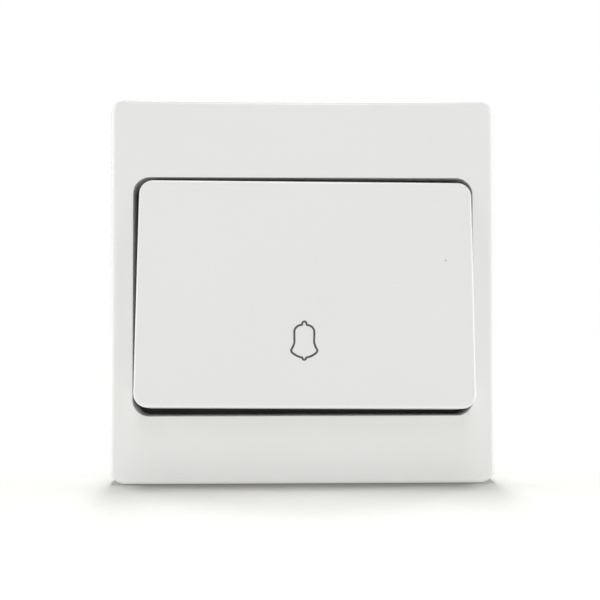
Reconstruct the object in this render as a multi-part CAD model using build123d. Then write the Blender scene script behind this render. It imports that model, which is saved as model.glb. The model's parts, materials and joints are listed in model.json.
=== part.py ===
from build123d import *
import os
from math import cos, radians, sin

# Doorbell wall switch on a square plate, in millimetres.
# X is to the right, Y goes into the wall, Z is up. The wall plane is y = 0, the front faces -Y,
# and the origin is the middle of the plate's back. Depths below are distances along Y.

# Face plate
plate_size = 86.0
plate_corner_radius = 3.5
plate_edge_radius = 1.8
plate_wall = 2.2
post_radius = 2.0
post_inset = 4.8
pry_notch_width = 8.0
pry_notch_depth = 1.2

# Window for the rocker, given by the plate's margins round it, with a well wall behind
window_side_margin = 5.2
window_top_margin = 17.8
window_bottom_margin = 15.2
window_corner_radius = 3.6
window_edge_radius = 0.15
well_wall = 1.4
well_gap = 0.6

# Mounting frame behind the plate
frame_thickness = 2.6
frame_gap = 0.4
frame_corner_radius = 1.5
rib_length = 60.0
rib_width = 1.4
rib_height = 1.8

# Fixing slots for the wall box, at the standard spacing
fixing_spacing = 60.3
fixing_slot_width = 4.4
fixing_slot_length = 7.0

# Snap fit of the plate on the frame
snap_offset = 22.0
snap_width = 8.0
snap_bite = 0.6
snap_ledge = 1.4
snap_slack = 0.1
snap_side_room = 1.0
snap_flat = 0.4
snap_ramp = 0.5

# Rocker motion: tilt from square to the wall, bottom edge forward
rest_tilt = 7.0
pressed_tilt = 1.0
pivot_standoff = 0.9
stop_gap = 0.05
skirt_gap = 0.5

# Rocker cap: its room in the window, its shell, and how it sits askew on its clips
cap_side_gap = 0.8
cap_end_room = 2.8
cap_corner_radius = 3.1
cap_edge_radius = 0.7
cap_face_wall = 2.5
cap_side_wall = 1.6
cap_proud = 3.3
cap_settle = 0.3
cap_shift = 0.38
cap_skew = 0.36

# Clips that hold the cap on its carrier
clip_length = 8.0
clip_offset = 12.0
clip_wall = 1.2
clip_side_gap = 0.55
clip_bite = 0.7
clip_lip = 1.1
clip_slack = 0.05

# Rocker carrier with its hinge pins
carrier_width = 32.0
carrier_height = 36.0
carrier_plate = 2.4
ear_wall = 1.4
ear_radius = 2.4
ear_root = 8.0
ear_gap = 0.6
pin_radius = 1.5
pin_end_gap = 0.1
stop_radius = 1.5
stop_spread = 8.0
stop_inset = 2.0

# Hinge bearings on the frame
cheek_inner = 15.0
cheek_wall = 3.0
cheek_height = 7.0
cheek_cover = 0.55
cheek_room = 1.8
bearing_clearance = 0.05
bearing_throat = 2.7
pocket_side_gap = 0.4
pocket_height = 6.4
pocket_gap = 0.3

# Press nose of the carrier
nose_inset = 4.0
nose_reach = 2.0
nose_radius = 2.0

# Plunger, guided in a sleeve of the frame
plunger_radius = 4.0
plunger_clearance = 0.06
plunger_rear = 6.0
plunger_edge = 0.4
nose_gap = 0.03
sleeve_wall = 1.4
sleeve_rear = 2.0
spigot_radius = 1.8
spigot_length = 3.0

# Moving bridge contact and its tips
bridge_end = 1.0
bridge_width = 5.0
bridge_thickness = 0.8
bridge_front = 3.6
bridge_side_gap = 0.05
tip_offset = 7.0
tip_radius = 1.5
bridge_tip_height = 0.7
fixed_tip_height = 0.6
contact_slack = 0.025

# Fixed contact strips
strip_thickness = 0.8
strip_width = 5.0
strip_end = 3.0
foot_end = 0.5
rivet_radius = 1.0
rivet_head_radius = 1.8
rivet_head_height = 0.5
rivet_length = 5.0
rivet_clearance = 0.03

# Terminal pillars, staked to the strips, and their clamping screws
terminal_width = 7.0
terminal_height = 10.0
terminal_x = 13.0
terminal_z = 13.0
wire_bore_radius = 1.7
wire_bore_depth = 3.0
stake_radius = 1.25
stake_head_radius = 1.9
stake_head_height = 0.5
clamp_radius = 1.7
clamp_clearance = 0.05
clamp_point_radius = 1.2
clamp_point_length = 1.2
clamp_travel = 2.6
clamp_tip_gap = 0.05
clamp_head_radius = 3.0
clamp_head_height = 2.0
clamp_head_gap = 0.05
clamp_slot_width = 0.9
clamp_slot_depth = 1.1
clamp_edge = 0.3

# Return spring in a cup of the base
spring_radius = 2.5
spring_wire = 0.6
spring_turns = 6
spring_seat_gap = 0.02
cup_clearance = 0.4
cup_wall = 1.3
cup_height = 3.5

# Mechanism base behind the frame
base_depth = 18.0
base_wall = 2.0
base_floor = 2.0
base_corner_radius = 2.0
base_edge_radius = 1.0
base_room = 0.2
terminal_room = 2.0
wire_window = 6.0
head_hole_gap = 0.3

# Screws that join the base to bosses on the frame
boss_radius = 2.8
boss_length = 6.0
boss_spread = 19.0
boss_low = -21.0
boss_high = 15.0
screw_radius = 1.1
screw_core_gap = 0.02
screw_hole_gap = 0.2
screw_end_gap = 0.5
screw_floor = 1.5
screw_head_radius = 2.1
screw_head_height = 1.3
screw_head_gap = 0.2
screw_slot_width = 0.6
screw_slot_depth = 0.7
screw_point = 0.6

# Depths, built up from the wall: frame, hinge, carrier, cap, and the plate's front behind the cap's face
frame_front = -frame_thickness
pivot_y = frame_front - pivot_standoff
bearing_radius = pin_radius + bearing_clearance
cheek_front = pivot_y - bearing_radius - cheek_cover
carrier_back = cheek_front - cheek_room
cap_inside = carrier_back - carrier_plate
cap_face = cap_inside - cap_face_wall
plate_front = cap_face + cap_proud
plate_inside = plate_front + plate_wall

# Outlines of plate, window, cap and frame
plate_inner_half = plate_size / 2 - plate_wall
window_top = plate_size / 2 - window_top_margin
window_bottom = window_bottom_margin - plate_size / 2
window_width = plate_size - 2 * window_side_margin
window_height = window_top - window_bottom
window_drop = -(window_top + window_bottom) / 2
cap_width = window_width - 2 * cap_side_gap
cap_height = window_height - cap_end_room
cap_drop = window_drop + cap_settle
upper_band = (window_top + well_wall + plate_inner_half) / 2
lower_band = (window_bottom - well_wall - plate_inner_half) / 2
frame_half = plate_inner_half - frame_gap

# Hinge
cheek_outer = cheek_inner + cheek_wall
ear_outer = cheek_inner - ear_gap
ear_inner = ear_outer - ear_wall
stop_height = carrier_height / 2 - stop_inset
nose_arm = carrier_height / 2 - nose_inset


def turned(y, z, tilt):
    """Depth and height, with the rocker at this tilt, of a point given square to the wall."""
    back = y - pivot_y
    turn = radians(tilt)
    return pivot_y + back * cos(turn) + z * sin(turn), z * cos(turn) - back * sin(turn)


def square_depth(z, tilt, gap):
    """Depth, square to the wall, of a point at height z that ends a gap short of the frame at this tilt."""
    turn = radians(tilt)
    return pivot_y + (pivot_standoff - gap - z * sin(turn)) / cos(turn)


# Nose and plunger: the plunger stands on the middle of the nose's path and keeps a small gap to it
nose_rest_y, nose_rest_z = turned(pivot_y + nose_reach, -nose_arm, rest_tilt)
nose_pressed_y, nose_pressed_z = turned(pivot_y + nose_reach, -nose_arm, pressed_tilt)
plunger_travel = nose_pressed_y - nose_rest_y
plunger_z = (nose_rest_z + nose_pressed_z) / 2
plunger_head = nose_rest_y + nose_radius + nose_gap
sleeve_radius = plunger_radius + plunger_clearance

# Contacts: the gap between the tips is the plunger's travel and a little slack
bridge_back = bridge_front + bridge_thickness
fixed_tip_front = bridge_back + bridge_tip_height + plunger_travel + contact_slack
strip_front = fixed_tip_front + fixed_tip_height
strip_back = strip_front + strip_thickness
strip_inner = terminal_x - strip_width / 2
strip_outer = terminal_x + strip_width / 2
strip_top = terminal_z + strip_end
foot_inner = tip_offset - tip_radius - foot_end
foot_low = plunger_z - strip_width / 2
bridge_half = tip_offset + tip_radius + bridge_end

# Base
floor_y = base_depth - base_floor
base_half = boss_spread + boss_radius + base_room + base_wall
base_low = boss_low - boss_radius - base_room - base_wall
base_high = terminal_z + terminal_height / 2 + terminal_room + base_wall
wire_bore_y = strip_back + wire_bore_depth
spring_outer = spring_radius + spring_wire / 2
cup_radius = spring_outer + cup_clearance
boss_places = [(-boss_spread, boss_low), (boss_spread, boss_low), (0.0, boss_high)]

# Terminal screw, slackened off so that its tip clears the wire bore; its hole ends past its clamped place
clamp_tip = wire_bore_y + wire_bore_radius + clamp_tip_gap
clamp_seat = floor_y + clamp_head_gap + clamp_travel
clamp_hole_end = clamp_tip + clamp_point_length - clamp_travel - clamp_tip_gap


def at_depth(y):
    """Drawing plane at depth y as seen from the front: x right, y up, extruded towards the viewer."""
    return Plane(origin=(0, y, 0), x_dir=(1, 0, 0), z_dir=(0, -1, 0))


def block(x_span, y_span, z_span):
    """Box between the two ends given along each axis."""
    spans = (x_span, y_span, z_span)
    size = [abs(end - start) for start, end in spans]
    middle = [(start + end) / 2 for start, end in spans]
    return Pos(*middle) * Box(*size)


def rounded_block(width, height, radius, front, back, x=0.0, z=0.0):
    """Slab with rounded corners between two depths, centred at x and z."""
    outline = Pos(x, z) * RectangleRounded(width, height, radius)
    return extrude(at_depth(back) * outline, back - front)


def rod(radius, front, back, x, z):
    """Round bar along Y between two depths."""
    return extrude(at_depth(back) * Pos(x, z) * Circle(radius), back - front)


def side_profile(points, middle_x, width):
    """Prism along X from an outline of (depth, height) points."""
    outline = Plane.YZ * Polygon(*points, align=None)
    return Pos(middle_x, 0, 0) * extrude(outline, width / 2, both=True)


def both_sides(piece):
    """A piece and its mirror image about the middle plane x = 0."""
    return piece + mirror(piece, about=Plane.YZ)


def rocker_place(piece):
    """Turn a piece modelled square to the wall about the hinge to its rest tilt."""
    return Pos(0, pivot_y, 0) * Rot(-rest_tilt, 0, 0) * Pos(0, -pivot_y, 0) * piece


def face_plate():
    """Snap-on cover: a hollow square dish with a window, a well round it, posts and snap nibs."""
    body = rounded_block(plate_size, plate_size, plate_corner_radius, plate_front, 0)
    body = fillet(body.faces().sort_by(Axis.Y)[0].edges(), plate_edge_radius)
    inner_size = 2 * plate_inner_half
    body -= rounded_block(inner_size, inner_size, plate_corner_radius - plate_wall, plate_inside, 0)
    well_back = frame_front - well_gap
    body += rounded_block(window_width + 2 * well_wall, window_height + 2 * well_wall,
                          window_corner_radius + well_wall, plate_inside, well_back, z=-window_drop)
    body -= rounded_block(window_width, window_height, window_corner_radius,
                          plate_front, well_back, z=-window_drop)
    window_edges = body.faces().sort_by(Axis.Y)[0].inner_wires()[0].edges()
    body = fillet(window_edges, window_edge_radius)
    for band in (upper_band, lower_band):
        body += both_sides(rod(post_radius, plate_inside, frame_front, plate_inner_half - post_inset, band))
    hook_y = frame_front + snap_ledge + snap_slack
    reach = frame_gap + snap_bite
    nib = side_profile([(hook_y, plate_inner_half), (hook_y, plate_inner_half - reach),
                        (hook_y + snap_flat, plate_inner_half - reach),
                        (hook_y + snap_flat + snap_ramp, plate_inner_half)], snap_offset, snap_width)
    nibs = both_sides(nib)
    body += nibs + mirror(nibs, about=Plane.XY)
    body -= block((-pry_notch_width / 2, pry_notch_width / 2), (-pry_notch_depth, 0),
                  (-plate_size / 2, -plate_inner_half))
    return body


def hinge_cheek():
    """Bearing cheek on the right: the pin snaps in through a throat at the front."""
    x_span = (cheek_inner, cheek_outer)
    cheek = block(x_span, (cheek_front, frame_front), (-cheek_height / 2, cheek_height / 2))
    throat = block(x_span, (cheek_front, pivot_y), (-bearing_throat / 2, bearing_throat / 2))
    return cheek - throat


def mounting_frame():
    """Moulded frame that carries the hinge, guides the plunger and is screwed to the wall box."""
    body = rounded_block(2 * frame_half, 2 * frame_half, frame_corner_radius, frame_front, 0)
    body += both_sides(hinge_cheek())
    pin_bore = Plane.YZ.offset(cheek_inner) * Pos(pivot_y, 0) * Circle(bearing_radius)
    body -= both_sides(extrude(pin_bore, cheek_wall))
    pocket_floor = pivot_y + ear_radius + pocket_gap
    body -= both_sides(block((ear_inner - pocket_side_gap, cheek_inner), (frame_front, pocket_floor),
                             (-pocket_height / 2, pocket_height / 2)))
    for band in (upper_band, lower_band):
        body += block((-rib_length / 2, rib_length / 2), (frame_front - rib_height, frame_front),
                      (band - rib_width / 2, band + rib_width / 2))
    body += rod(sleeve_radius + sleeve_wall, 0, sleeve_rear, 0, plunger_z)
    body -= rod(sleeve_radius, frame_front, sleeve_rear, 0, plunger_z)
    for x, z in boss_places:
        body += rod(boss_radius, 0, boss_length, x, z)
        body -= rod(screw_radius + screw_core_gap, 0, boss_length, x, z)
    slot = SlotOverall(fixing_slot_length, fixing_slot_width)
    for x in (-fixing_spacing / 2, fixing_spacing / 2):
        body -= extrude(at_depth(0) * Pos(x, 0) * slot, frame_thickness)
    catch_half = snap_width / 2 + snap_side_room
    catch = block((snap_offset - catch_half, snap_offset + catch_half),
                  (frame_front + snap_ledge, 0), (frame_half - 2 * snap_bite, frame_half))
    catches = both_sides(catch)
    body -= catches + mirror(catches, about=Plane.XY)
    return body


def cap_clip(z):
    """Hook on the right of the cap that grips the carrier's edge from behind."""
    leg_inner = carrier_width / 2 + clip_side_gap
    lip_front = carrier_back + clip_slack
    lip_back = lip_front + clip_lip
    z_span = (z - clip_length / 2, z + clip_length / 2)
    leg = block((leg_inner, leg_inner + clip_wall), (cap_inside, lip_back), z_span)
    lip = block((carrier_width / 2 - clip_bite, leg_inner), (lip_front, lip_back), z_span)
    return leg + lip


def rocker_cap():
    """Large press face: a hollow rounded shell whose skirt is cut back to clear the frame."""
    skirt_top = square_depth(cap_height / 2 - cap_drop, rest_tilt, skirt_gap)
    skirt_bottom = square_depth(-cap_height / 2 - cap_drop, pressed_tilt, skirt_gap)
    body = rounded_block(cap_width, cap_height, cap_corner_radius, cap_face, skirt_bottom)
    body = fillet(body.faces().sort_by(Axis.Y)[0].edges(), cap_edge_radius)
    body -= rounded_block(cap_width - 2 * cap_side_wall, cap_height - 2 * cap_side_wall,
                          cap_corner_radius - cap_side_wall, cap_inside, skirt_bottom)
    body -= side_profile([(skirt_top, cap_height / 2), (skirt_bottom, cap_height / 2),
                          (skirt_bottom, -cap_height / 2)], 0, cap_width)
    for z in (-clip_offset, clip_offset):
        body += both_sides(cap_clip(z + cap_drop))
    askew = Pos(cap_shift, 0, -cap_drop) * Rot(0, cap_skew, 0) * body
    return rocker_place(askew)


def rocker_carrier():
    """Hinged carrier inside the cap: ears with pins, a press nose and stops at both ends of the travel."""
    body = block((-carrier_width / 2, carrier_width / 2), (cap_inside, carrier_back),
                 (-carrier_height / 2, carrier_height / 2))
    ear = side_profile([(carrier_back, -ear_root), (carrier_back, ear_root), (pivot_y, ear_radius),
                        (pivot_y, -ear_radius)], (ear_inner + ear_outer) / 2, ear_wall)
    ear += extrude(Plane.YZ.offset(ear_inner) * Pos(pivot_y, 0) * Circle(ear_radius), ear_wall)
    pin_length = cheek_outer - pin_end_gap - ear_outer
    ear += extrude(Plane.YZ.offset(ear_outer) * Pos(pivot_y, 0) * Circle(pin_radius), pin_length)
    body += both_sides(ear)
    nose_y = pivot_y + nose_reach
    body += rod(nose_radius, carrier_back, nose_y, 0, -nose_arm)
    body += Pos(0, nose_y, -nose_arm) * Sphere(nose_radius)
    for z, tilt in ((stop_height, rest_tilt), (-stop_height, pressed_tilt)):
        stop_end = square_depth(z + stop_radius, tilt, stop_gap)
        body += both_sides(rod(stop_radius, carrier_back, stop_end, stop_spread, z))
    return rocker_place(body)


def plunger():
    """Round push rod with a cross slot for the bridge and a spigot for the spring."""
    body = rod(plunger_radius, plunger_head, plunger_rear, 0, plunger_z)
    body = chamfer(body.faces().sort_by(Axis.Y)[0].edges(), plunger_edge)
    body += rod(spigot_radius, plunger_rear, plunger_rear + spigot_length, 0, plunger_z)
    half_slot = bridge_width / 2 + bridge_side_gap
    body -= block((-plunger_radius, plunger_radius), (bridge_front, bridge_back),
                  (plunger_z - half_slot, plunger_z + half_slot))
    return body


def bridge_contact():
    """Flat copper bar carried across by the plunger."""
    return block((-bridge_half, bridge_half), (bridge_front, bridge_back),
                 (plunger_z - bridge_width / 2, plunger_z + bridge_width / 2))


def bridge_tip():
    """Contact button on the right end of the bridge."""
    return rod(tip_radius, bridge_back, bridge_back + bridge_tip_height, tip_offset, plunger_z)


def fixed_tip():
    """Contact button on the right strip, facing the bridge's button."""
    return rod(tip_radius, fixed_tip_front, strip_front, tip_offset, plunger_z)


def contact_strip():
    """Flat L-shaped strip on the right, from the contact button up to the terminal."""
    depth_span = (strip_front, strip_back)
    strip = block((strip_inner, strip_outer), depth_span, (foot_low, strip_top))
    strip += block((foot_inner, strip_outer), depth_span, (foot_low, foot_low + strip_width))
    strip -= rod(rivet_radius + rivet_clearance, strip_front, strip_back, terminal_x, plunger_z)
    strip -= rod(stake_radius + rivet_clearance, strip_front, strip_back, terminal_x, terminal_z)
    return strip


def strip_rivet():
    """Rivet that holds the right strip down on the base's pad."""
    shank = rod(rivet_radius, strip_front, strip_back + rivet_length, terminal_x, plunger_z)
    head_front = strip_front - rivet_head_height
    return shank + rod(rivet_head_radius, head_front, strip_front, terminal_x, plunger_z)


def terminal():
    """Pillar on the right with a wire bore from above, a clamp hole from behind and a staked stud."""
    half_width = terminal_width / 2
    half_height = terminal_height / 2
    pillar = block((terminal_x - half_width, terminal_x + half_width), (strip_back, floor_y),
                   (terminal_z - half_height, terminal_z + half_height))
    bore = Pos(terminal_x, wire_bore_y) * Circle(wire_bore_radius)
    pillar -= extrude(Plane.XY.offset(terminal_z - half_height) * bore, terminal_height)
    pillar -= rod(clamp_radius + clamp_clearance, clamp_hole_end, floor_y, terminal_x, terminal_z)
    pillar += rod(stake_radius, strip_front, strip_back, terminal_x, terminal_z)
    pillar += rod(stake_head_radius, strip_front - stake_head_height, strip_front, terminal_x, terminal_z)
    return pillar


def terminal_screw():
    """Slotted clamping screw of the right terminal, with a dog point, slackened off."""
    head_back = clamp_seat + clamp_head_height
    screw = rod(clamp_head_radius, clamp_seat, head_back, terminal_x, terminal_z)
    screw = chamfer(screw.faces().sort_by(Axis.Y)[-1].edges(), clamp_edge)
    screw += rod(clamp_radius, clamp_tip + clamp_point_length, clamp_seat, terminal_x, terminal_z)
    screw += rod(clamp_point_radius, clamp_tip, clamp_tip + clamp_point_length, terminal_x, terminal_z)
    screw -= block((terminal_x - clamp_slot_width / 2, terminal_x + clamp_slot_width / 2),
                   (head_back - clamp_slot_depth, head_back),
                   (terminal_z - clamp_head_radius, terminal_z + clamp_head_radius))
    return screw


def return_spring():
    """Coil spring between the plunger's shoulder and the base's floor."""
    end_room = spring_wire / 2 + spring_seat_gap
    start = plunger_rear + end_room
    height = floor_y - end_room - start
    path = Helix(height / spring_turns, height, spring_radius,
                 center=(0, start, plunger_z), direction=(0, 1, 0))
    section = Plane(origin=path @ 0, z_dir=path % 0) * Circle(spring_wire / 2)
    return sweep(section, path=path, is_frenet=True)


def mechanism_base():
    """Deep tray behind the frame that holds the contacts, terminals and spring."""
    middle_z = (base_low + base_high) / 2
    width = 2 * base_half
    height = base_high - base_low
    body = rounded_block(width, height, base_corner_radius, 0, base_depth, z=middle_z)
    body = fillet(body.faces().sort_by(Axis.Y)[-1].edges(), base_edge_radius)
    body -= block((-base_half + base_wall, base_half - base_wall), (0, floor_y),
                  (base_low + base_wall, base_high - base_wall))
    body += rod(cup_radius + cup_wall, floor_y - cup_height, floor_y, 0, plunger_z)
    body -= rod(cup_radius, floor_y - cup_height, floor_y, 0, plunger_z)
    pad = block((strip_inner, strip_outer), (strip_back, floor_y), (foot_low, foot_low + strip_width))
    pad -= rod(rivet_radius + rivet_clearance, strip_back, strip_back + rivet_length, terminal_x, plunger_z)
    body += both_sides(pad)
    for x, z in boss_places:
        body += rod(boss_radius, boss_length, floor_y, x, z)
        body -= rod(screw_radius + screw_hole_gap, boss_length, base_depth, x, z)
        body -= rod(screw_head_radius + screw_head_gap, base_depth - screw_floor, base_depth, x, z)
    half_window = wire_window / 2
    body -= both_sides(block((terminal_x - half_window, terminal_x + half_window),
                             (wire_bore_y - half_window, wire_bore_y + half_window),
                             (base_high - base_wall, base_high)))
    body -= both_sides(rod(clamp_head_radius + head_hole_gap, floor_y, base_depth, terminal_x, terminal_z))
    return body


def base_screw(x, z):
    """Self-tapping screw through a column of the base into a boss of the frame."""
    seat = base_depth - screw_floor
    head_back = seat + screw_head_height
    tip = screw_end_gap
    screw = rod(screw_radius, tip, seat, x, z)
    screw = chamfer(screw.faces().sort_by(Axis.Y)[0].edges(), screw_point)
    screw += rod(screw_head_radius, seat, head_back, x, z)
    screw -= block((x - screw_head_radius, x + screw_head_radius), (head_back - screw_slot_depth, head_back),
                   (z - screw_slot_width / 2, z + screw_slot_width / 2))
    return screw


def save(node, piece):
    """Write one piece, or a group of like pieces, as parts/NODE.step."""
    export_step(piece, f"parts/{node}.step")


os.makedirs("parts", exist_ok=True)
save("face_plate", face_plate())
save("mounting_frame", mounting_frame())
save("rocker_cap", rocker_cap())
save("rocker_carrier", rocker_carrier())
save("plunger", plunger())
save("bridge_contact", bridge_contact())
save("return_spring", return_spring())
save("mechanism_base", mechanism_base())
save("base_screws", Compound([base_screw(x, z) for x, z in boss_places]))
for name, make in (("bridge_tip", bridge_tip), ("fixed_tip", fixed_tip), ("contact_strip", contact_strip),
                   ("strip_rivet", strip_rivet), ("terminal", terminal), ("terminal_screw", terminal_screw)):
    piece = make()
    save(f"{name}_right", piece)
    save(f"{name}_left", mirror(piece, about=Plane.YZ))
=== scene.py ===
import json
from math import pi, radians

import bmesh
import bpy
import numpy as np
from mathutils import Matrix, Vector


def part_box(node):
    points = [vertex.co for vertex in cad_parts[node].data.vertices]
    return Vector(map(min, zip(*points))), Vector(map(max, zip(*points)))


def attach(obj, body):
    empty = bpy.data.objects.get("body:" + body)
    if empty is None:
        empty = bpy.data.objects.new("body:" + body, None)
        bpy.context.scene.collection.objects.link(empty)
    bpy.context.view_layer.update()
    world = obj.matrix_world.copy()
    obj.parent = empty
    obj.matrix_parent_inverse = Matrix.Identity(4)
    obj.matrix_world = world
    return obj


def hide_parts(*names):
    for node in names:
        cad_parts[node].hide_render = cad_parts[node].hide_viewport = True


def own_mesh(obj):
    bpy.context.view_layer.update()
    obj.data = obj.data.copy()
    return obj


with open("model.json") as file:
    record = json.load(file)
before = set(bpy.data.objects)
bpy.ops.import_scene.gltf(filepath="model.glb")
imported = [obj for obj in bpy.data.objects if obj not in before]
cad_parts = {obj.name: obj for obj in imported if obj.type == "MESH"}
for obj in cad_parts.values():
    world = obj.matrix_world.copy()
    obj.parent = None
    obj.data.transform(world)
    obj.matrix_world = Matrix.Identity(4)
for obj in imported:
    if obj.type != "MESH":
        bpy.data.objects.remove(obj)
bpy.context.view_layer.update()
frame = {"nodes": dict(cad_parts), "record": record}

# Sizes in millimetres, as in the part's source: X right, Y into the wall, Z up, front at the lowest y.
MM = 0.001

# Face plate: its outside and inside, the window and its well, the notch in the lower rim, posts, snap nibs.
PLATE_HALF = 43.0
PLATE_CORNER = 3.5
PLATE_EDGE = 1.8
PLATE_FRONT = -9.0
PLATE_INSIDE = -6.8
PLATE_INNER_HALF = 40.8
PLATE_INNER_CORNER = 1.3
WINDOW_HALF = (37.8, 26.5)
WINDOW_MIDDLE = -1.3
WINDOW_CORNER = 3.6
WINDOW_EDGE = 0.15
WELL_WALL = 1.4
WELL_BACK = -3.2
NOTCH_HALF = 4.0
NOTCH_DEPTH = 1.2
NOTCH_COLUMNS = (-1, -0.995, 0, 0.995, 1)
POST_RADIUS = 2.0
POST_CHAMFER = 0.25
POST_BACK = -2.6
POST_X = 36.0
POST_BANDS = (33.7, -35.0)
NIB_X = 22.0
NIB_HALF = 4.0
NIB_REACH = 1.0
NIB_FRONT = -1.1
NIB_FLAT = 0.4
NIB_RAMP = 0.5

# Rocker cap, given square to the wall, with its four clips. seated_cap puts it in its place.
CAP_HALF = (37.0, 25.1)
CAP_CORNER = 3.1
CAP_EDGE = 0.7
CAP_FACE = -12.3
CAP_INSIDE = -9.8
CAP_WALL = 1.6
CAP_SKIRT_TOP = -5.982
CAP_SKIRT_BOTTOM = -2.634
CAP_SHIFT = 0.38
CAP_DROP = 1.6
CAP_SKEW = radians(0.36)
REST_TILT = radians(7.0)
PIVOT_Y = -3.5
CLIP_ARM = (16.55, 17.75)
CLIP_TIP = 15.3
CLIP_CATCH = -7.35
CLIP_BACK = -6.25
CLIP_HEIGHTS = (-10.4, 13.6)
CLIP_HALF = 4.0

# Printed bell, the place under it that fingers polish, and one speck of dirt, all on the press face.
BELL_X = -0.30
BELL_LIP_Z = -12.78
BELL_SIZE = 0.99
BELL_LINE = 0.45
BELL_RISE = 0.02
BELL_POINTS = 240
POLISH_ABOVE_LIP = 2.0
POLISH_CORE = 4.0
POLISH_RIM = 16.0
SPECK_X = 30.86
SPECK_Z = 7.36
SPECK_CORE = 0.09
SPECK_RIM = 0.16
SPECK_RAGGED = 0.15

# Return spring, squashed against its seat by the plunger.
SPRING_WIRE = 0.6
SPRING_TURNS = 6

# Meshes: how deep a post, nib or clip starts inside its wall, how far a ring lies from a rounded edge to keep
# the flat beside it flat, the steps of corners, sides, edges, posts, spring turns and spring wire.
EMBED = 0.3
EDGE_RING = 0.3
CORNER_STEPS = 12
SIDE_STEPS = 12
EDGE_STEPS = 10
POST_STEPS = 32
TURN_STEPS = 40
WIRE_STEPS = 14
MERGE_METRES = 1e-7
SHARP_ANGLE = radians(35)

FLOOR_Z = -43.0
FLOOR_REACH_METRES = 1.5

# Relief of the surfaces, in metres, and the middle range in which most of a noise lies.
GLOSS_RELIEF = 1e-6
MOULDING_RELIEF = 4e-6
METAL_RELIEF = 2e-6
NOISE_MIDDLE = (0.3, 0.7)

# Lamps: name, direction in which it shines, level, angle of its disc in degrees, colour. The first ones light
# the floor alone, and the fills lean back in steps, so that the shadow before the plate fades forwards.
PLAIN_LIGHT = (1.0, 1.0, 1.0)
STRAW_LIGHT = (1.0, 1.0, 0.96)
FLOOR_LAMPS = (
    ("floor_light", (0.0, 0.12, -1.0), 0.48, 14, PLAIN_LIGHT),
    ("floor_left", (1.0, -0.09, -0.36), 1.20, 20, PLAIN_LIGHT),
    ("floor_back_left", (0.8, -0.8, -1.0), 0.30, 16, PLAIN_LIGHT),
    ("floor_back_right", (-0.8, -0.8, -1.0), 0.30, 16, PLAIN_LIGHT),
    ("floor_right", (-1.0, -0.09, -0.36), 1.20, 20, PLAIN_LIGHT),
    ("floor_fill_1", (0.0, -0.06, -1.0), 0.33, 9, PLAIN_LIGHT),
    ("floor_fill_2", (0.0, -0.16, -1.0), 0.33, 9, PLAIN_LIGHT),
    ("floor_fill_3", (0.0, -0.28, -1.0), 0.33, 9, PLAIN_LIGHT),
    ("floor_fill_4", (0.0, -0.42, -1.0), 0.33, 9, PLAIN_LIGHT))
OBJECT_LAMPS = (
    ("top_light", (0.0, 0.14, -0.99), 0.34, 24, PLAIN_LIGHT),
    ("left_light", (0.99, 0.0, -0.12), 0.46, 66, PLAIN_LIGHT),
    ("right_light", (-0.99, 0.0, -0.12), 0.50, 66, PLAIN_LIGHT),
    ("front_light", (0.0, 0.72, -0.69), 0.11, 17, PLAIN_LIGHT),
    ("low_light", (0.0, 0.62, 0.78), 0.53, 90, STRAW_LIGHT),
    ("back_light", (0.0, -0.60, -0.80), 0.38, 50, PLAIN_LIGHT))
ROOM_LEVEL = 0.30


def outline_walk():
    """One turn round a rounded rectangle: each point's corner centre on the core rectangle, which runs from
    -1 to 1 both ways, and its outward direction. Corners keep their centre and turn a quarter; sides slide
    the centre from one corner to the next and keep the direction."""
    corners = np.array([[1, 1], [-1, 1], [-1, -1], [1, -1]], float)
    share = np.linspace(0, 1, SIDE_STEPS + 1)[1:-1, None]
    cores, ways = [], []
    for k, corner in enumerate(corners):
        turn = np.linspace(0, pi / 2, CORNER_STEPS + 1) + k * pi / 2
        arc = np.column_stack((np.cos(turn), np.sin(turn)))
        cores += [np.tile(corner, (CORNER_STEPS + 1, 1)), corner + (corners[(k + 1) % 4] - corner) * share]
        ways += [arc, np.tile(arc[-1], (SIDE_STEPS - 1, 1))]
    return np.concatenate(cores), np.concatenate(ways)


def carried_outline(rows):
    """A rounded rectangle carried through rows of half width, half height, corner radius, middle height and
    depth: a point is its core place times half size less radius, plus the radius outwards."""
    core, way = outline_walk()
    half = rows[:, None, 0:2]
    radius = rows[:, None, 2:3]
    flat = core * (half - radius) + way * radius
    depth = np.broadcast_to(rows[:, None, 4], flat.shape[:2])
    return np.stack((flat[..., 0], depth, flat[..., 1] + rows[:, None, 3]), axis=-1)


def rounded_edge(half, corner, middle, face, radius, inwards):
    """Rows of a quarter round from the side wall to the face: the outline draws in by radius * (1 - cos t)
    while its depth is radius * (1 - sin t) behind the face. At a window it draws out instead."""
    t = np.linspace(0, pi / 2, EDGE_STEPS + 1)
    inset = inwards * radius * (1 - np.cos(t))
    return np.column_stack((half[0] - inset, half[1] - inset, corner - inset, np.full_like(t, middle),
                            face + radius * (1 - np.sin(t))))


def between(first, last, shares):
    """Rows at these shares of the way from one row to another."""
    share = np.array(shares)[:, None]
    return first + (last - first) * share


def stitched(points, joined=False):
    """Points and quads of a grid whose rows are closed rings: each quad joins a point, the next on its ring
    and the two beside them on the next row. Joined ties the last row to the first."""
    rows, columns = points.shape[:2]
    number = np.arange(rows * columns).reshape(rows, columns)
    near = number if joined else number[:-1]
    far = np.roll(number, -1, axis=0) if joined else number[1:]
    quads = np.stack((near, np.roll(near, -1, axis=1), np.roll(far, -1, axis=1), far), axis=-1)
    return points.reshape(-1, 3), quads.reshape(-1, 4)


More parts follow.
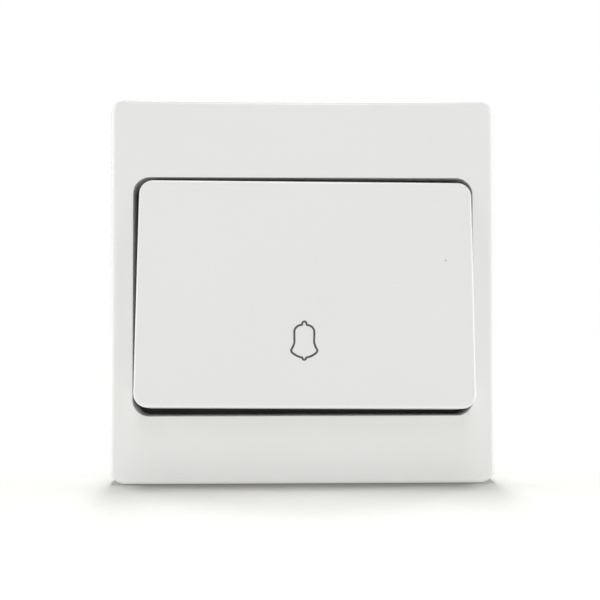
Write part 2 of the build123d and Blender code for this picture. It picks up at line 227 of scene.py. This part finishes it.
def post(x, z):
    """Closed round post along Y: rings of radius 0, r, r, r - c and 0 from front to back, so that its back
    end has a chamfer c."""
    front = PLATE_INSIDE - EMBED
    turn = np.linspace(0, 2 * pi, POST_STEPS, endpoint=False)
    ring = np.array([0, POST_RADIUS, POST_RADIUS, POST_RADIUS - POST_CHAMFER, 0])[:, None]
    depth = np.array([front, front, POST_BACK - POST_CHAMFER, POST_BACK, POST_BACK])[:, None]
    return stitched(np.stack((x + ring * np.cos(turn), depth + 0 * turn, z + ring * np.sin(turn)), axis=-1))


def prism(outline, hub, span, axes):
    """Closed bar: an outline at both ends of a span, fanned to a hub point at each end. axes says which of x,
    y and z the two numbers of an outline point and the span are."""
    outline = np.array(outline, float)
    flat = np.stack((np.tile(hub, (len(outline), 1)), outline, outline, np.tile(hub, (len(outline), 1))))
    points = np.empty(flat.shape[:2] + (3,))
    points[..., axes[0]] = flat[..., 0]
    points[..., axes[1]] = flat[..., 1]
    points[..., axes[2]] = np.array([span[0], span[0], span[1], span[1]])[:, None]
    return stitched(points)


def flipped(shell, *signs):
    """The mirror image of a shell, by the signs of x, y and z."""
    points, cells = shell
    return points * np.array(signs), cells


def seated_cap(points):
    """Places points of the cap, given square to the wall, as the cap sits: turned askew about Y, shifted and
    dropped on its clips, then tilted about the hinge line."""
    askew = np.array(Matrix.Rotation(CAP_SKEW, 3, "Y"))
    tilt = np.array(Matrix.Rotation(-REST_TILT, 3, "X"))
    pivot = np.array([0, PIVOT_Y, 0])
    return (points @ askew.T + (CAP_SHIFT, 0, -CAP_DROP) - pivot) @ tilt.T + pivot


def nib_shell():
    """Snap nib of the plate, upper right: a bar along X that stands inwards from the rim, flat in front, with
    a short land and a ramp behind it."""
    root = PLATE_INNER_HALF + EMBED
    tip = PLATE_INNER_HALF - NIB_REACH
    land = NIB_FRONT + NIB_FLAT
    back = NIB_FRONT + NIB_FLAT + NIB_RAMP
    outline = [(NIB_FRONT, root), (NIB_FRONT, tip), (land, tip), (back, PLATE_INNER_HALF), (back, root)]
    return prism(outline, (land, PLATE_INNER_HALF), (NIB_X - NIB_HALF, NIB_X + NIB_HALF), (1, 2, 0))


def clip_shell(z):
    """Right-hand clip of the cap at a height: a bar along Z with an arm that runs back from the inner face
    and a tip that turns in towards the middle."""
    near, far = CLIP_ARM
    front = CAP_INSIDE - EMBED
    outline = [(near, front), (far, front), (far, CLIP_BACK), (CLIP_TIP, CLIP_BACK), (CLIP_TIP, CLIP_CATCH),
               (near, CLIP_CATCH)]
    hub = ((near + far) / 2, (CLIP_CATCH + CLIP_BACK) / 2)
    return prism(outline, hub, (z - CLIP_HALF, z + CLIP_HALF), (0, 1, 2))


def plate_shells():
    """Face plate: one closed band carried round the plate, from the wall rim over the rounded edge and the
    front to the window, back along its well and over the inside to the rim, with posts and snap nibs. In the
    middle of the lower rim, five points of the rim's two rings make the notch."""
    window = (*WINDOW_HALF, WINDOW_CORNER, WINDOW_MIDDLE)
    well = (WINDOW_HALF[0] + WELL_WALL, WINDOW_HALF[1] + WELL_WALL, WINDOW_CORNER + WELL_WALL, WINDOW_MIDDLE)
    inner = (PLATE_INNER_HALF, PLATE_INNER_HALF, PLATE_INNER_CORNER, 0)
    side = (PLATE_HALF, PLATE_HALF, PLATE_CORNER, 0)
    outer_edge = rounded_edge(side[:2], PLATE_CORNER, 0, PLATE_FRONT, PLATE_EDGE, 1)
    window_edge = rounded_edge(WINDOW_HALF, WINDOW_CORNER, WINDOW_MIDDLE, PLATE_FRONT, WINDOW_EDGE, -1)[::-1]
    front_shares = (0.06, 0.3, 0.5, 0.7, 0.94)
    rows = np.concatenate((
        [(*side, 0), (*side, PLATE_FRONT + PLATE_EDGE + EDGE_RING)],
        outer_edge,
        between(outer_edge[-1], window_edge[0], front_shares),
        window_edge,
        [(*window, PLATE_FRONT + WINDOW_EDGE + EDGE_RING), (*window, WELL_BACK), (*well, WELL_BACK),
         (*well, PLATE_INSIDE), (*inner, PLATE_INSIDE), (*inner, 0)]))
    points = carried_outline(rows)
    middle = 3 * (CORNER_STEPS + 1) + 2 * (SIDE_STEPS - 1) + SIDE_STEPS // 2 - 1
    columns = middle + np.array([-2, -1, 0, 1, 2])
    points[:, columns, 0] = NOTCH_HALF * np.array(NOTCH_COLUMNS)
    points[np.ix_((0, -1), columns[1:-1], (1,))] = -NOTCH_DEPTH
    posts = [post(x, z) for x in (-POST_X, POST_X) for z in POST_BANDS]
    nibs = [flipped(nib_shell(), x, 1, z) for x in (-1, 1) for z in (-1, 1)]
    return [stitched(points, joined=True), *posts, *nibs]


def cap_shells():
    """Rocker cap: rings that grow from the middle of the press face to its rounded edge, run back along the
    skirt to its slanting rim, forward again inside and close on the middle of the inner face; four clips."""
    edge = rounded_edge(CAP_HALF, CAP_CORNER, 0, CAP_FACE, CAP_EDGE, 1)[::-1]
    outside = (*CAP_HALF, CAP_CORNER, 0)
    inside = (CAP_HALF[0] - CAP_WALL, CAP_HALF[1] - CAP_WALL, CAP_CORNER - CAP_WALL, 0)
    face_middle = np.array([0, 0, 0, 0, CAP_FACE])
    inner_middle = np.array([0, 0, 0, 0, CAP_INSIDE])
    inner_rim = np.array([*inside, CAP_INSIDE])
    face_shares = (0, 0.25, 0.5, 0.75, 0.9, 0.97, 0.993)
    rows = np.concatenate((
        between(face_middle, edge[0], face_shares),
        edge,
        [(*outside, CAP_FACE + CAP_EDGE + EDGE_RING), (*outside, 0), (*inside, 0), inner_rim],
        between(inner_rim, inner_middle, (0.5, 1))))
    points = carried_outline(rows)
    slope = (CAP_SKIRT_TOP - CAP_SKIRT_BOTTOM) / (2 * CAP_HALF[1])
    rim = rows[:, 4] == 0
    points[rim, :, 1] = (CAP_SKIRT_TOP + CAP_SKIRT_BOTTOM) / 2 + slope * points[rim, :, 2]
    clips = [flipped(clip_shell(z), x, 1, 1) for z in CLIP_HEIGHTS for x in (1, -1)]
    return [(seated_cap(shell), cells) for shell, cells in (stitched(points), *clips)]


def bell_path():
    """Centre line of the printed bell, half of it and its mirror image: a round eye on top, a shoulder that
    is a quarter ellipse, a slightly waisted side, a flare that grows as a power, a lip, a parabola below it
    and a round clapper. Widths are from the axis, heights from the lip. The points are spaced evenly along
    the line, and each is then evened out with its two neighbours."""
    eye, eye_z = 0.46, 6.0
    shoulder_z, shoulder, side = 4.15, (1.69, 1.54), 2.20
    waist, waist_z = 2.15, 2.03
    lip, flare_power, flare_end = 2.99, 1.6, 0.93
    belly_start, belly, sag = 2.77, 0.156, -1.5
    clapper, clapper_z = 0.41, -1.55
    quarter = np.linspace(0, pi / 2, 16)
    fall = np.linspace(0, flare_end, 16)
    under = np.linspace(belly_start, clapper, 20)
    half = np.concatenate((
        np.column_stack((eye * np.sin(quarter), eye_z + eye * np.cos(quarter))),
        np.column_stack((side - shoulder[0] + shoulder[0] * np.sin(quarter),
                         shoulder_z + shoulder[1] * np.cos(quarter))),
        np.column_stack((waist + (lip - waist) * fall ** flare_power, waist_z * (1 - fall))),
        np.column_stack((under, sag + belly * under ** 2)),
        np.column_stack((clapper * np.cos(quarter), clapper_z - clapper * np.sin(quarter)))))
    path = np.concatenate((half, half[::-1][1:-1] * (-1, 1)))
    ring = np.concatenate((path, path[:1]))
    run = np.concatenate(([0], np.cumsum(np.hypot(*np.diff(ring, axis=0).T))))
    even = np.linspace(0, run[-1], BELL_POINTS, endpoint=False)
    line = np.column_stack((np.interp(even, run, ring[:, 0]), np.interp(even, run, ring[:, 1])))
    smooth = (np.roll(line, 1, axis=0) + 2 * line + np.roll(line, -1, axis=0)) / 4
    return smooth * BELL_SIZE + (BELL_X, BELL_LIP_Z)


def bell_shells():
    """Bell print: a flat bar carried along the bell's line, half a line's width to each side of it and from
    just above the press face to just under it."""
    line = bell_path()
    along = np.roll(line, -1, axis=0) - np.roll(line, 1, axis=0)
    along /= np.hypot(along[:, 0], along[:, 1])[:, None]
    across = np.column_stack((along[:, 1], -along[:, 0])) * BELL_LINE / 2
    sides = np.array([-1, 1, 1, -1])
    depths = CAP_FACE + np.array([-BELL_RISE, -BELL_RISE, BELL_RISE, BELL_RISE])
    flat = line[:, None] + across[:, None] * sides[:, None]
    points = np.stack((flat[..., 0], np.broadcast_to(depths, flat.shape[:2]), flat[..., 1]), axis=-1)
    shell, cells = stitched(points, joined=True)
    return [(seated_cap(shell), cells)]


def spring_shells():
    """Return spring: a round wire carried along a helix between the ends of its CAD box. A point is the
    helix's place plus half the wire times the outward direction by cos s and the direction square to that and
    to the line by sin s; the first and the last ring close on the line."""
    low, high = np.array(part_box("return_spring")) / MM
    turn = np.linspace(0, 2 * pi * SPRING_TURNS, TURN_STEPS * SPRING_TURNS + 1)
    radius = (high[0] - low[0] - SPRING_WIRE) / 2
    rise = (high[1] - low[1] - SPRING_WIRE) / turn[-1]
    out = np.stack((np.cos(turn), 0 * turn, np.sin(turn)), axis=-1)
    line = (low + high) / 2 + radius * out
    line[:, 1] = low[1] + SPRING_WIRE / 2 + rise * turn
    along = np.stack((-radius * np.sin(turn), rise + 0 * turn, radius * np.cos(turn)), axis=-1)
    square = np.cross(along / np.hypot(radius, rise), out)
    s = np.linspace(0, 2 * pi, WIRE_STEPS, endpoint=False)[:, None]
    wire = line[:, None] + SPRING_WIRE / 2 * (np.cos(s) * out[:, None] + np.sin(s) * square[:, None])
    ends = np.repeat(line[[0, -1], None], len(s), axis=1)
    return [stitched(np.concatenate((ends[:1], wire, ends[1:])))]


def piece(name, shells, material, body, node=None):
    """One object from closed shells: points doubled at the hubs are merged, faces turned outwards, and the
    surface shaded smooth up to the sharp angle. It rides on a body and may stand for a CAD node."""
    starts = np.cumsum([0] + [len(points) for points, _ in shells])
    corners = np.concatenate([points for points, _ in shells]) * MM
    faces = np.concatenate([cells + start for start, (_, cells) in zip(starts, shells)])
    mesh = bpy.data.meshes.new(name)
    mesh.from_pydata(corners.tolist(), [], faces.tolist())
    build = bmesh.new()
    build.from_mesh(mesh)
    bmesh.ops.remove_doubles(build, verts=build.verts, dist=MERGE_METRES)
    bmesh.ops.recalc_face_normals(build, faces=build.faces)
    build.to_mesh(mesh)
    build.free()
    mesh.shade_smooth()
    mesh.set_sharp_from_angle(angle=SHARP_ANGLE)
    mesh.materials.append(material)
    made = bpy.data.objects.new(name, mesh)
    bpy.context.scene.collection.objects.link(made)
    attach(made, body)
    if node:
        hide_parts(node)
    return made


def node(tree, kind, inputs=None, **settings):
    """A shader node with its settings; inputs maps a socket to a value or to another node's output."""
    made = tree.nodes.new(kind)
    for name, value in settings.items():
        setattr(made, name, value)
    for socket, value in (inputs or {}).items():
        if isinstance(value, bpy.types.NodeSocket):
            tree.links.new(value, made.inputs[socket])
        else:
            made.inputs[socket].default_value = value
    return made


def maths(tree, operation, *values):
    """The output of a Math node on one or more values."""
    return node(tree, "ShaderNodeMath", dict(enumerate(values)), operation=operation).outputs[0]


def spread(tree, value, low, high, to_low=0.0, to_high=1.0):
    """A value mapped smoothly from one range to another and held at its ends."""
    return node(tree, "ShaderNodeMapRange", {0: value, 1: low, 2: high, 3: to_low, 4: to_high},
                interpolation_type="SMOOTHSTEP").outputs[0]


def blend_value(tree, share, first, second):
    """Two values mixed by a share."""
    return node(tree, "ShaderNodeMix", {0: share, 2: first, 3: second}).outputs[0]


def blend_colour(tree, share, first, second):
    """Two colours mixed by a share."""
    return node(tree, "ShaderNodeMix", {0: share, 6: first, 7: second}, data_type="RGBA").outputs[2]


def noise(tree, place, scale, detail=2.0):
    """Noise over a place, in lumps per metre."""
    return node(tree, "ShaderNodeTexNoise", {"Vector": place, "Scale": scale, "Detail": detail}).outputs[0]


def object_place(tree):
    """The place of a point in the object's own coordinates."""
    return node(tree, "ShaderNodeTexCoord").outputs["Object"]


def distance(tree, place, spot):
    """How far a place is from a spot, in metres."""
    ends = {0: place, 1: tuple(spot)}
    return node(tree, "ShaderNodeVectorMath", ends, operation="DISTANCE").outputs["Value"]


def uneven_gloss(tree, broad, fine):
    """A share of dullness from a broad and a fine pattern, three fifths and two fifths."""
    return maths(tree, "ADD", maths(tree, "MULTIPLY", broad, 0.6), maths(tree, "MULTIPLY", fine, 0.4))


def grey(level, warmth=0.0):
    """A grey, a little warm or cool."""
    return (level * (1 + warmth), level, level * (1 - warmth), 1.0)


def effect(name, inputs, outputs):
    """An empty node group with colour and value sockets, its input node and its output node."""
    group = bpy.data.node_groups.new(name, "ShaderNodeTree")
    kinds = {float: "NodeSocketFloat", tuple: "NodeSocketColor"}
    for label, default in inputs.items():
        socket = group.interface.new_socket(label, in_out="INPUT", socket_type=kinds[type(default)])
        socket.default_value = default
    for label, kind in outputs.items():
        group.interface.new_socket(label, in_out="OUTPUT", socket_type=kinds[kind])
    return group, group.nodes.new("NodeGroupInput").outputs, group.nodes.new("NodeGroupOutput").inputs


def moulded_effect():
    """Moulded plastic: broad clouds of a second shade, fine grain in the gloss and the surface, and sparse
    dust, which lies in the middles of a few cells of a fine cell pattern."""
    group, given, out = effect(
        "moulded_plastic",
        {"Colour": grey(0.8), "Shade": grey(0.7), "Dust Colour": (0.3, 0.28, 0.25, 1.0),
         "Cloud Scale": 30.0, "Grain Scale": 1500.0, "Gloss": 0.25, "Dull": 0.35, "Dust": 0.5},
        {"Colour": tuple, "Roughness": float, "Height": float})
    dust_core, dust_rim = 0.10, 0.22
    common, rare = 0.93, 0.97
    place = object_place(group)
    cloud = spread(group, noise(group, place, given["Cloud Scale"], 3.0), *NOISE_MIDDLE)
    grain = noise(group, place, given["Grain Scale"], 3.0)
    cells = node(group, "ShaderNodeTexVoronoi", {"Vector": place, "Scale": given["Grain Scale"]})
    speck = spread(group, cells.outputs["Distance"], dust_core, dust_rim, 1.0, 0.0)
    lot = node(group, "ShaderNodeSeparateColor", {0: cells.outputs["Color"]}).outputs[0]
    chosen = maths(group, "MULTIPLY", speck, spread(group, lot, common, rare))
    dust = maths(group, "MULTIPLY", chosen, given["Dust"])
    shaded = blend_colour(group, cloud, given["Colour"], given["Shade"])
    group.links.new(blend_colour(group, dust, shaded, given["Dust Colour"]), out["Colour"])
    dullness = maths(group, "ADD", uneven_gloss(group, cloud, grain), dust)
    group.links.new(blend_value(group, dullness, given["Gloss"], given["Dull"]), out["Roughness"])
    ripple = noise(group, place, maths(group, "MULTIPLY", given["Cloud Scale"], 6.0), 1.0)
    group.links.new(maths(group, "ADD", maths(group, "MULTIPLY", grain, 0.25), ripple), out["Height"])
    return group


def metal_effect():
    """Bare metal: a drawn grain along Y, patches of tarnish and small bright scuffs in them."""
    group, given, out = effect(
        "drawn_metal",
        {"Colour": grey(0.8), "Tarnish": grey(0.4), "Patch Scale": 250.0,
         "Line Scale": 4000.0, "Patches": 0.5, "Gloss": 0.25, "Dull": 0.5},
        {"Colour": tuple, "Roughness": float, "Height": float})
    stretch = (1.0, 0.04, 1.0)
    streak_share = 0.18
    place = object_place(group)
    drawn = node(group, "ShaderNodeMapping", {"Vector": place, "Scale": stretch}).outputs[0]
    lines = noise(group, drawn, given["Line Scale"])
    patch = spread(group, noise(group, place, given["Patch Scale"], 4.0), 0.4, 0.7)
    scuff_scale = maths(group, "MULTIPLY", given["Patch Scale"], 3.0)
    scuff = spread(group, noise(group, place, scuff_scale, 5.0), 0.62, 0.7)
    tarnish = maths(group, "MULTIPLY", maths(group, "MULTIPLY", patch, given["Patches"]),
                    maths(group, "SUBTRACT", 1.0, scuff))
    streak = spread(group, lines, *NOISE_MIDDLE, 0.0, streak_share)
    streaky = blend_colour(group, streak, given["Colour"], given["Tarnish"])
    group.links.new(blend_colour(group, tarnish, streaky, given["Tarnish"]), out["Colour"])
    dullness = uneven_gloss(group, patch, lines)
    group.links.new(blend_value(group, dullness, given["Gloss"], given["Dull"]), out["Roughness"])
    group.links.new(maths(group, "ADD", lines, maths(group, "MULTIPLY", patch, 0.5)), out["Height"])
    return group


MOULDED = moulded_effect()
METAL = metal_effect()

WHITE = {"Colour": grey(0.80), "Shade": grey(0.79, 0.002), "Dust Colour": grey(0.55, 0.06),
         "Cloud Scale": 28.0, "Grain Scale": 1300.0, "Gloss": 0.18, "Dull": 0.22, "Dust": 0.08}
INK = {"Colour": grey(0.055), "Shade": grey(0.09), "Dust Colour": grey(0.3),
       "Cloud Scale": 900.0, "Grain Scale": 6000.0, "Gloss": 0.42, "Dull": 0.55, "Dust": 0.2}
DIRT = grey(0.05, 0.1)

# Technical mouldings by slot: colour, second shade, gloss, dullness, dust.
MOULDINGS = {
    "dark_moulding": (grey(0.022), grey(0.032, 0.02), 0.38, 0.52, 0.3),
    "grey_moulding": (grey(0.20), grey(0.24, 0.02), 0.35, 0.5, 0.3),
    "natural_moulding": ((0.72, 0.68, 0.56, 1.0), (0.66, 0.62, 0.5, 1.0), 0.35, 0.48, 0.2)}

# Bare metals by slot: colour, tarnish, how much of it, gloss, dullness.
METALS = {
    "copper": ((0.80, 0.42, 0.27, 1.0), (0.36, 0.17, 0.10, 1.0), 0.6, 0.24, 0.45),
    "silver": ((0.86, 0.85, 0.82, 1.0), (0.46, 0.43, 0.38, 1.0), 0.4, 0.2, 0.4),
    "brass": ((0.78, 0.60, 0.28, 1.0), (0.42, 0.29, 0.12, 1.0), 0.5, 0.24, 0.45),
    "zinc_steel": ((0.68, 0.69, 0.70, 1.0), (0.42, 0.42, 0.40, 1.0), 0.5, 0.28, 0.5),
    "spring_steel": (grey(0.55), (0.28, 0.27, 0.26, 1.0), 0.5, 0.25, 0.45)}


def finish(name, group, values, relief, **sockets):
    """A material whose colour, gloss and relief come from an effect with its own values. Returns the
    material, its tree, the effect's outputs and the shader, so that a piece can add its own marks."""
    material = bpy.data.materials.new(name)
    material.use_nodes = True
    tree = material.node_tree
    shader = tree.nodes["Principled BSDF"]
    made = node(tree, "ShaderNodeGroup", node_tree=group)
    for label, value in values.items():
        made.inputs[label].default_value = value
    height = made.outputs["Height"]
    bump = node(tree, "ShaderNodeBump", {"Height": height, "Strength": 1.0, "Distance": relief})
    tree.links.new(made.outputs["Colour"], shader.inputs["Base Color"])
    tree.links.new(made.outputs["Roughness"], shader.inputs["Roughness"])
    tree.links.new(bump.outputs[0], shader.inputs["Normal"])
    for label, value in sockets.items():
        shader.inputs[label].default_value = value
    return material, tree, made.outputs, shader


def plate_finish():
    """White gloss of the plate."""
    return finish("white_gloss_plate", MOULDED, WHITE, GLOSS_RELIEF, IOR=1.5)[0]


def cap_finish():
    """White gloss of the rocker: polished a little where fingers press, with one ragged speck of dirt."""
    material, tree, out, shader = finish("white_gloss_rocker", MOULDED, WHITE, GLOSS_RELIEF, IOR=1.5)
    place = object_place(tree)
    spot = seated_cap(np.array([SPECK_X, CAP_FACE, SPECK_Z])) * MM
    ragged = maths(tree, "SUBTRACT", noise(tree, place, 4000.0), 0.5)
    reach = maths(tree, "MULTIPLY_ADD", ragged, SPECK_RAGGED * MM, distance(tree, place, spot))
    speck = spread(tree, reach, SPECK_CORE * MM, SPECK_RIM * MM, 0.95, 0.0)
    tree.links.new(blend_colour(tree, speck, out["Colour"], DIRT), shader.inputs["Base Color"])
    press = seated_cap(np.array([BELL_X, CAP_FACE, BELL_LIP_Z + POLISH_ABOVE_LIP])) * MM
    polish = spread(tree, distance(tree, place, press), POLISH_CORE * MM, POLISH_RIM * MM, 0.82, 1.0)
    tree.links.new(maths(tree, "MULTIPLY", out["Roughness"], polish), shader.inputs["Roughness"])
    return material


def ink_finish():
    """Grey printing ink, thinner in places."""
    return finish("bell_ink", MOULDED, INK, GLOSS_RELIEF, IOR=1.45)[0]


def moulding(colour, shade, gloss, dull, dust):
    """Values of a technical moulding."""
    return {"Colour": colour, "Shade": shade, "Dust Colour": grey(0.35, 0.08), "Cloud Scale": 60.0,
            "Grain Scale": 2200.0, "Gloss": gloss, "Dull": dull, "Dust": dust}


def metal(colour, tarnish, patches, gloss, dull):
    """Values of a bare metal."""
    return {"Colour": colour, "Tarnish": tarnish, "Patch Scale": 260.0, "Line Scale": 5000.0,
            "Patches": patches, "Gloss": gloss, "Dull": dull}


def dress_nodes():
    """Gives every CAD node that stays visible the finish of its slot, and returns the finishes by slot."""
    finishes = {}
    for slot, values in MOULDINGS.items():
        finishes[slot] = finish(f"{slot}_finish", MOULDED, moulding(*values), MOULDING_RELIEF, IOR=1.5)[0]
    for slot, values in METALS.items():
        finishes[slot] = finish(f"{slot}_finish", METAL, metal(*values), METAL_RELIEF, Metallic=1.0)[0]
    slots = {part["node"]: part["material_slot"] for part in frame["record"]["subparts"]}
    for name, made in frame["nodes"].items():
        if slots[name] in finishes:
            made.material_slots[0].material = finishes[slots[name]]
    return finishes


def sun(name, direction, level, angle, colour):
    """A distant soft lamp that shines along a direction; level is the share of white that it adds to a white
    surface square to it."""
    lamp = bpy.data.lights.new(name, "SUN")
    lamp.energy = level * pi
    lamp.angle = radians(angle)
    lamp.color = colour
    made = bpy.data.objects.new(name, lamp)
    made.rotation_mode = "QUATERNION"
    made.rotation_quaternion = Vector(direction).to_track_quat("-Z", "Y")
    bpy.context.scene.collection.objects.link(made)
    return made


def seen_ray(tree):
    """1 for the rays that show a surface in the picture or in a gloss or glass, 0 for those that light
    others."""
    path = node(tree, "ShaderNodeLightPath").outputs
    return maths(tree, "MAXIMUM", maths(tree, "MAXIMUM", path["Is Camera Ray"], path["Is Glossy Ray"]),
                 path["Is Transmission Ray"])


def white_room():
    """White surroundings that light the object only softly."""
    world = bpy.data.worlds.new("white_room")
    bpy.context.scene.world = world
    world.use_nodes = True
    tree = world.node_tree
    background = tree.nodes["Background"]
    tree.links.new(blend_value(tree, seen_ray(tree), ROOM_LEVEL, 1.0), background.inputs["Strength"])
    background.inputs["Color"].default_value = (1, 1, 1, 1)


def paper_floor():
    """Floor under the plate's lower edge: pale paper with fine fibres. Its lamps make it white in the
    picture, and to the rays that light the object it is a darker grey."""
    edge = FLOOR_REACH_METRES
    height = FLOOR_Z * MM
    mesh = bpy.data.meshes.new("floor")
    mesh.from_pydata([(-edge, -edge, height), (edge, -edge, height), (edge, edge, height),
                      (-edge, edge, height)], [], [(0, 1, 2, 3)])
    floor = bpy.data.objects.new("floor", mesh)
    bpy.context.scene.collection.objects.link(floor)
    material = bpy.data.materials.new("floor_paper")
    material.use_nodes = True
    tree = material.node_tree
    shader = tree.nodes["Principled BSDF"]
    fibre = spread(tree, noise(tree, object_place(tree), 900.0, 4.0), *NOISE_MIDDLE)
    paper = blend_colour(tree, fibre, (0.338, 0.338, 0.322, 1.0), (0.344, 0.344, 0.328, 1.0))
    bounce = (0.148, 0.149, 0.143, 1.0)
    tree.links.new(blend_colour(tree, seen_ray(tree), bounce, paper), shader.inputs["Base Color"])
    shader.inputs["Roughness"].default_value = 0.9
    shader.inputs["Specular IOR Level"].default_value = 0.1
    mesh.materials.append(material)
    return floor


def hang_lamps(floor):
    """Lamps for the floor alone, which give it the shadow before the plate, and soft lamps for all else from
    above, both sides, in front, below and behind, as over a lit table."""
    only_floor = bpy.data.collections.new("floor_only")
    only_floor.objects.link(floor)
    for lamp in FLOOR_LAMPS:
        sun(*lamp).light_linking.receiver_collection = only_floor
    all_but_floor = bpy.data.collections.new("all_but_floor")
    all_but_floor.objects.link(floor)
    all_but_floor.collection_objects[0].light_linking.link_state = "EXCLUDE"
    for lamp in OBJECT_LAMPS:
        linking = sun(*lamp).light_linking
        linking.receiver_collection = all_but_floor
        linking.blocker_collection = all_but_floor


def set_camera():
    """Camera at the photograph's place: close, a little to the left and below the middle, looking up a
    trifle."""
    eye = np.array([-5.709, -209.0, -6.15])
    focal, image = 900.5, 600
    yaw, pitch, roll = radians(-1.407), radians(1.160), radians(0.016)
    turn = Matrix.Rotation(yaw, 3, "Z") @ Matrix.Rotation(pitch, 3, "X") @ Matrix.Rotation(roll, 3, "Y")
    lens = bpy.data.cameras.new("camera")
    lens.sensor_width = 36.0
    lens.lens = focal / image * lens.sensor_width
    lens.clip_start = 0.01
    made = bpy.data.objects.new("camera", lens)
    upright = Matrix(((1, 0, 0), (0, 0, -1), (0, 1, 0)))
    made.matrix_world = Matrix.Translation(eye * MM) @ (turn @ upright).to_4x4()
    bpy.context.scene.collection.objects.link(made)
    bpy.context.scene.camera = made


bpy.context.scene.view_settings.view_transform = "Standard"
set_camera()
white_room()
hang_lamps(paper_floor())
finishes = dress_nodes()
piece("plate_cover", plate_shells(), plate_finish(), "fixed", "face_plate")
piece("rocker_face", cap_shells(), cap_finish(), "rocker", "rocker_cap")
piece("bell_print", bell_shells(), ink_finish(), "rocker")
spring = piece("coil_spring", spring_shells(), finishes["spring_steel"], "fixed",
               "return_spring")
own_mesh(spring)
